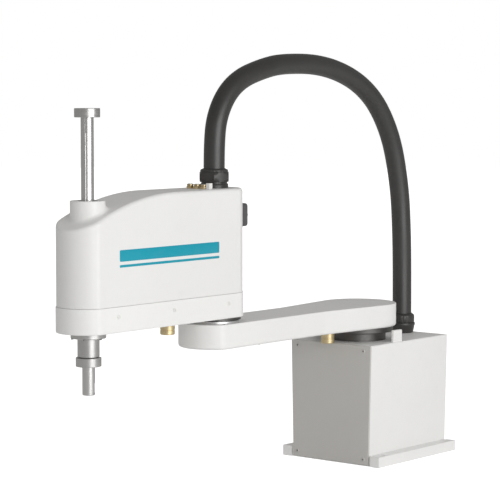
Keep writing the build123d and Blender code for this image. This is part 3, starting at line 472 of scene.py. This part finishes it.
def make_base_gland(materials):
    """A tapered body with a lip round its top, under a fluted clamping nut with a domed shoulder"""
    where = place((*BASE_GLAND, BASE_TOP))
    black = materials["gland_black"]
    parts = [
        turned("taper", [(0.0204, 0), (0.0209, 0.0006), (0.0236, 0.0136), (0.0242, 0.0144), (0.0243, 0.0152),
                         (0.0243, 0.0176), (0.0240, 0.0184), (0.0228, 0.0186), (0.0212, 0.0190)],
               where, black, sides=96),
        turned("nut", [(0.0212, 0.0188), (0.0224, 0.0192), (0.0230, 0.0200), (0.0230, 0.0308),
                       (0.0226, 0.0322), (0.0215, 0.0338), (0.0202, 0.0346), (0.0178, 0.0349),
                       (0.0178, 0.0250)], where, black, sides=144, flutes=18, depth=0.0007,
               flute_range=(0.0198, 0.0312)),
        turned("lip", [(0.0186, 0.0346), (0.0194, 0.0351), (0.0192, 0.0357), (0.0185, 0.0360),
                       (0.0178, 0.0358), (0.0178, 0.0320)], where, materials["seal_rubber"]),
    ]
    gland = join("base_gland_detailed", parts)
    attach(gland, "base")
    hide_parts("base_hose_gland")


def push_fitting(where, materials, scale, height):
    """A push-in air fitting: hexagon, body, release collar, and a dark rubber disc down the collar's hole,
    painted shade standing in for the hole's unlit depth
    """
    s = scale
    body_top = height * 0.90
    return [
        hexagon("hex", 0.0066 * s, 0, 0.0040 * s, where, materials["brass"]),
        turned("body", [(0.0054 * s, 0.0040 * s), (0.0050 * s, 0.0043 * s), (0.0050 * s, 0.0049 * s),
                        (0.0056 * s, 0.0053 * s), (0.0056 * s, body_top - 0.0006),
                        (0.0052 * s, body_top), (0.0044 * s, body_top), (0.0044 * s, 0.0040 * s)],
               where, materials["brass"], sides=48),
        turned("collet", [(0.0030 * s, 0.0041 * s), (0.0030 * s, height - 0.0003),
                          (0.0033 * s, height), (0.0042 * s, height - 0.0002),
                          (0.0043 * s, height - 0.0010), (0.0038 * s, height - 0.0014),
                          (0.0038 * s, 0.0041 * s), (0.0030 * s, 0.0041 * s)],
               where, materials["ground_steel"], sides=48),
        # Painted shade: a thin dark disc closes the hole a few millimetres down, in place of the hole's
        # unlit depth
        turned("bore_shade_disc", [(0.0030 * s, 0.0040 * s), (0.0030 * s, 0.0042 * s)], where,
               materials["seal_rubber"], sides=24),
    ]


def make_air_fittings(materials):
    parts = []
    for step in (-1, 0, 1):
        where = place((ARM_PORT_X, step * ARM_PORT_PITCH, COVER_TOP), turn=radians(11 * step))
        parts += push_fitting(where, materials, 1.0, 0.0080)
    arm = join("arm_air_fittings_detailed", parts)
    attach(arm, "arm_2")
    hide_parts("arm_2_air_fittings")
    parts = []
    for y in BASE_PORT_Y:
        parts += push_fitting(place((BASE_REAR, y, BASE_PORT_Z), (-1, 0, 0)), materials, 1.15, 0.0130)
    base = join("base_air_fittings_detailed", parts)
    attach(base, "base")
    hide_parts("base_air_fittings")


def make_brass_studs(materials):
    """Turned studs under both arms: a rounded foot with a small centre hole, and two grooves"""
    for name, node, body, x, y, low, high in (
            ("arm_1_stud", "arm_1_brass_plug", "arm_1", 0.1, 0.008, 0.2155, 0.2387),
            ("arm_2_stud", "arm_2_bumper", "arm_2", 0.5165, 0.0, 0.2685, 0.2892)):
        tall = high - low
        profile = [(0.0030, 0.0015), (0.0034, 0.0002), (0.0100, 0.0), (0.0113, 0.0004), (0.0120, 0.0013),
                   (0.0120, tall * 0.34), (0.0115, tall * 0.36), (0.0115, tall * 0.40),
                   (0.0120, tall * 0.42), (0.0120, tall - 0.0044), (0.0107, tall - 0.0038),
                   (0.0107, tall - 0.0022), (0.0118, tall - 0.0018), (0.0118, tall)]
        stud = turned(name + "_detailed", profile, place((x, y, low)), materials["brass"], sides=72)
        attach(stud, body)
        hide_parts(node)


def make_plate_screws(materials):
    """Painted button-head screws at the corners of both base plates; the front heads take the front plate's
    grey with its painted shade. A dark steel hexagon near the top of each head is painted shade standing in
    for the socket's recess.
    """
    for name, node, x, facing, paint in (
            # The front heads take the plate's grey: partly its own colour, partly painted shade
            ("front_screws", "front_plate_screws", BASE_FRONT, 1, materials["front_plate"]),
            ("rear_screws", "rear_panel_screws", BASE_REAR, -1, materials["white_paint"])):
        parts = []
        for y in PLATE_SCREW_Y:
            for z in PLATE_SCREW_Z:
                where = place((x, y, z), (facing, 0, 0))
                parts.append(turned("head", [(0.0034, 0.0), (0.0036, 0.0002), (0.0035, 0.0009),
                                             (0.0029, 0.0014), (0.0019, 0.0016), (0.0017, 0.0015),
                                             (0.0016, 0.0005)], where, paint, sides=40))
                # Painted shade: the screw's own dark steel as a hexagon almost flush with the head, in place
                # of the shaded socket recess
                parts.append(hexagon("socket", 0.0019, 0.0004, 0.00152, where, materials["screw_steel"]))
        screws = join(name + "_detailed", parts)
        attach(screws, "base")
        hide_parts(node)


# ---------------------------------------------------------------- connectors

def pins(name, places, radius, depth, axis, material):
    parts = []
    for i, centre in enumerate(places):
        parts.append(turned(f"{name}_{i}", [(radius, 0), (radius, depth * 0.8), (radius * 0.5, depth)],
                            place(centre, axis), material, sides=12))
    return parts


def make_rear_connector(materials):
    """The hooded plug on the back of the outer arm, held by two long screws"""
    x, y, z = REAR_CONNECTOR
    where = place((x, y, z), (-1, 0, 0))
    black = materials["connector_black"]
    parts = [
        prism("hood_base", rounded_rectangle(0.036, 0.041, 0.003), 0, 0.0032, where, black, 0.0006),
        prism("hood", rounded_rectangle(0.0335, 0.0385, 0.005), 0.0032, 0.0168, where, black, 0.0012, 3),
    ]
    for i in range(4):
        rib = place((x - 0.0165, y, z - 0.0105 + 0.007 * i), (-1, 0, 0))
        parts.append(prism(f"rib_{i}", rounded_rectangle(0.0014, 0.022, 0.0006), -0.001, 0.0003, rib, black,
                           0.0002))
    for side in (-1, 1):
        screw = place((x, y + side * 0.0145, z), (-1, 0, 0))
        parts.append(turned(f"screw_{side}", [(0.0024, 0.0160), (0.0024, 0.0169), (0.0019, 0.0170)], screw,
                            materials["connector_shell"], sides=40, flutes=10, depth=0.0004,
                            flute_range=(0.016, 0.0169)))
    plug = join("arm_2_plug_detailed", parts)
    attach(plug, "arm_2")
    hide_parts("arm_2_rear_connector")


def make_base_sockets(materials):
    """The three sockets on the base's rear panel, with their shells, inserts, contacts and jack posts"""
    black, shell = materials["connector_black"], materials["connector_shell"]
    for node, y, z, width, height, rows, columns, slot in (
            ("power_connector", -0.038, 0.130, 0.046, 0.034, 2, 4, "connector_black"),
            ("signal_connector", 0.038, 0.130, 0.056, 0.022, 2, 13, "connector_shell"),
            ("service_connector", 0.038, 0.080, 0.040, 0.016, 2, 8, "connector_shell")):
        where = place((BASE_REAR, y, z), (-1, 0, 0))
        outer = black if slot == "connector_black" else shell
        parts = [prism("flange", rounded_rectangle(width + 0.012, height + 0.004, 0.002), 0, 0.003, where,
                       outer, 0.0004)]
        wall = rounded_rectangle(width - 0.004, height - 0.004, 0.003)
        hole = rounded_rectangle(width - 0.007, height - 0.007, 0.002)
        n = len(wall)
        points = [where @ Vector((px, py, pz)) for pz, ring in ((0.003, wall), (0.012, wall), (0.012, hole),
                                                                (0.0035, hole)) for px, py in ring]
        faces = [(k * n + i, k * n + (i + 1) % n, (k + 1) * n + (i + 1) % n, (k + 1) * n + i)
                 for k in range(3) for i in range(n)]
        faces.append(tuple(range(3 * n, 4 * n)))
        parts.append(round_edges(make_object("shell", points, faces, outer), 0.0003))
        parts.append(prism("insert", rounded_rectangle(width - 0.0095, height - 0.0095, 0.0015), 0.003,
                           0.0090, where, black, 0.0003))
        pin_radius = 0.0016 if node == "power_connector" else 0.0007
        for row in range(rows):
            for column in range(columns):
                px = (column - (columns - 1) / 2) * (width - 0.014) / max(columns - 1, 1)
                py = (row - (rows - 1) / 2) * (height - 0.012) / 2
                centre = where @ Vector((px, py, 0.0088))
                parts += pins(f"pin_{row}_{column}", [centre], pin_radius, 0.0014, (-1, 0, 0),
                              materials["brass"])
        for side in (-1, 1):
            post = place(where @ Vector((side * (width / 2 + 0.0025), 0, 0.003)), (-1, 0, 0))
            parts.append(hexagon(f"post_{side}", 0.0026, 0, 0.004, post, materials["screw_steel"]))
        socket = join(node + "_detailed", parts)
        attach(socket, "base")
        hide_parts(node)


# ---------------------------------------------------------------- markings and small trim

def make_stripes(materials):
    """A plain stripe with a shorter bar under it on each side of the cover, with no lettering"""
    for side, name in ((1, "left"), (-1, "right")):
        where = Matrix(((1, 0, 0, STRIPE_X), (0, 0, side, side * COVER_SIDE), (0, 1, 0, STRIPE_Z),
                        (0, 0, 0, 1)))
        parts = [
            prism(bar, rounded_rectangle(0.236, height, corner, centre=(0, y)), 0, STRIPE_THICKNESS, where,
                  materials["stripe_teal"], 0.0001)
            for bar, height, corner, y in (("long_bar", 0.018, 0.002, 0.0045),
                                           ("short_bar", 0.004, 0.001, -0.0115))]
        stripe = join("stripe_" + name, parts)
        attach(stripe, "arm_2")


# ---------------------------------------------------------------- studio

def make_stage():
    nodes = Nodes("floor_paper")
    tone = nodes.ramp(nodes.noise(1.5, 3.0), [(0.3, rgb(0.93, 0.93, 0.93)), (0.7, rgb(0.95, 0.95, 0.95))])
    nodes.link(tone, nodes.shader.inputs["Base Color"])
    nodes.shader.inputs["Roughness"].default_value = 0.95
    nodes.shader.inputs["Specular IOR Level"].default_value = 0.0
    nodes.shader.inputs["Emission Color"].default_value = (1, 1, 1, 1)
    path = nodes.node("ShaderNodeLightPath")
    nodes.link(nodes.spread(path.outputs["Is Camera Ray"], 0.0, 0.75, 0.0, 1.0),
               nodes.shader.inputs["Emission Strength"])
    points = [(14 * cos(2 * pi * i / 96), 14 * sin(2 * pi * i / 96), 0) for i in range(96)]
    floor = make_object("floor", points, [tuple(range(96))], nodes.material)


def make_world():
    """White to the camera; as a light brighter low down than overhead, and dimmed in reflections"""
    world = bpy.data.worlds.new("studio")
    bpy.context.scene.world = world
    world.use_nodes = True
    tree = world.node_tree
    background = tree.nodes["Background"]
    coordinates = tree.nodes.new("ShaderNodeTexCoord")
    split = tree.nodes.new("ShaderNodeSeparateXYZ")
    ramp = tree.nodes.new("ShaderNodeValToRGB")
    ramp.color_ramp.elements[0].position, ramp.color_ramp.elements[0].color = 0.0, rgb(0.62, 0.62, 0.62)
    ramp.color_ramp.elements[1].position, ramp.color_ramp.elements[1].color = 0.8, rgb(0.44, 0.435, 0.425)
    path = tree.nodes.new("ShaderNodeLightPath")
    mix = tree.nodes.new("ShaderNodeMix")
    mix.data_type = "RGBA"
    mix.inputs["B"].default_value = (1, 1, 1, 1)
    tree.links.new(coordinates.outputs["Generated"], split.inputs["Vector"])
    tree.links.new(split.outputs["Z"], ramp.inputs["Fac"])
    tree.links.new(ramp.outputs["Color"], mix.inputs["A"])
    tree.links.new(path.outputs["Is Camera Ray"], mix.inputs["Factor"])
    tree.links.new(mix.outputs["Result"], background.inputs["Color"])
    dim = tree.nodes.new("ShaderNodeMapRange")
    dim.inputs["To Min"].default_value, dim.inputs["To Max"].default_value = 1.0, 0.55
    tree.links.new(path.outputs["Is Glossy Ray"], dim.inputs["Value"])
    tree.links.new(dim.outputs["Result"], background.inputs["Strength"])


def make_light(name, location, target, size, power, colour=(1, 1, 1)):
    data = bpy.data.lights.new(name, "AREA")
    data.shape, data.size, data.size_y = "RECTANGLE", size[0], size[1]
    data.energy, data.color = power, colour
    light = bpy.data.objects.new(name, data)
    light.location = location
    light.rotation_euler = (Vector(target) - Vector(location)).to_track_quat("-Z", "Y").to_euler()
    bpy.context.scene.collection.objects.link(light)


make_camera()
finishes = make_materials()
make_hoses(finishes["hose_black"])
dress_cad_nodes(finishes)
make_arm_gland(finishes)
make_base_gland(finishes)
make_air_fittings(finishes)
make_brass_studs(finishes)
make_plate_screws(finishes)
make_rear_connector(finishes)
make_base_sockets(finishes)
make_stripes(finishes)
make_stage()
make_world()
make_light("key", (1.1, 3.0, 0.9), (0.3, 0, 0.35), (2.6, 1.8), 52.0)
bpy.context.scene.view_settings.view_transform = "Standard"
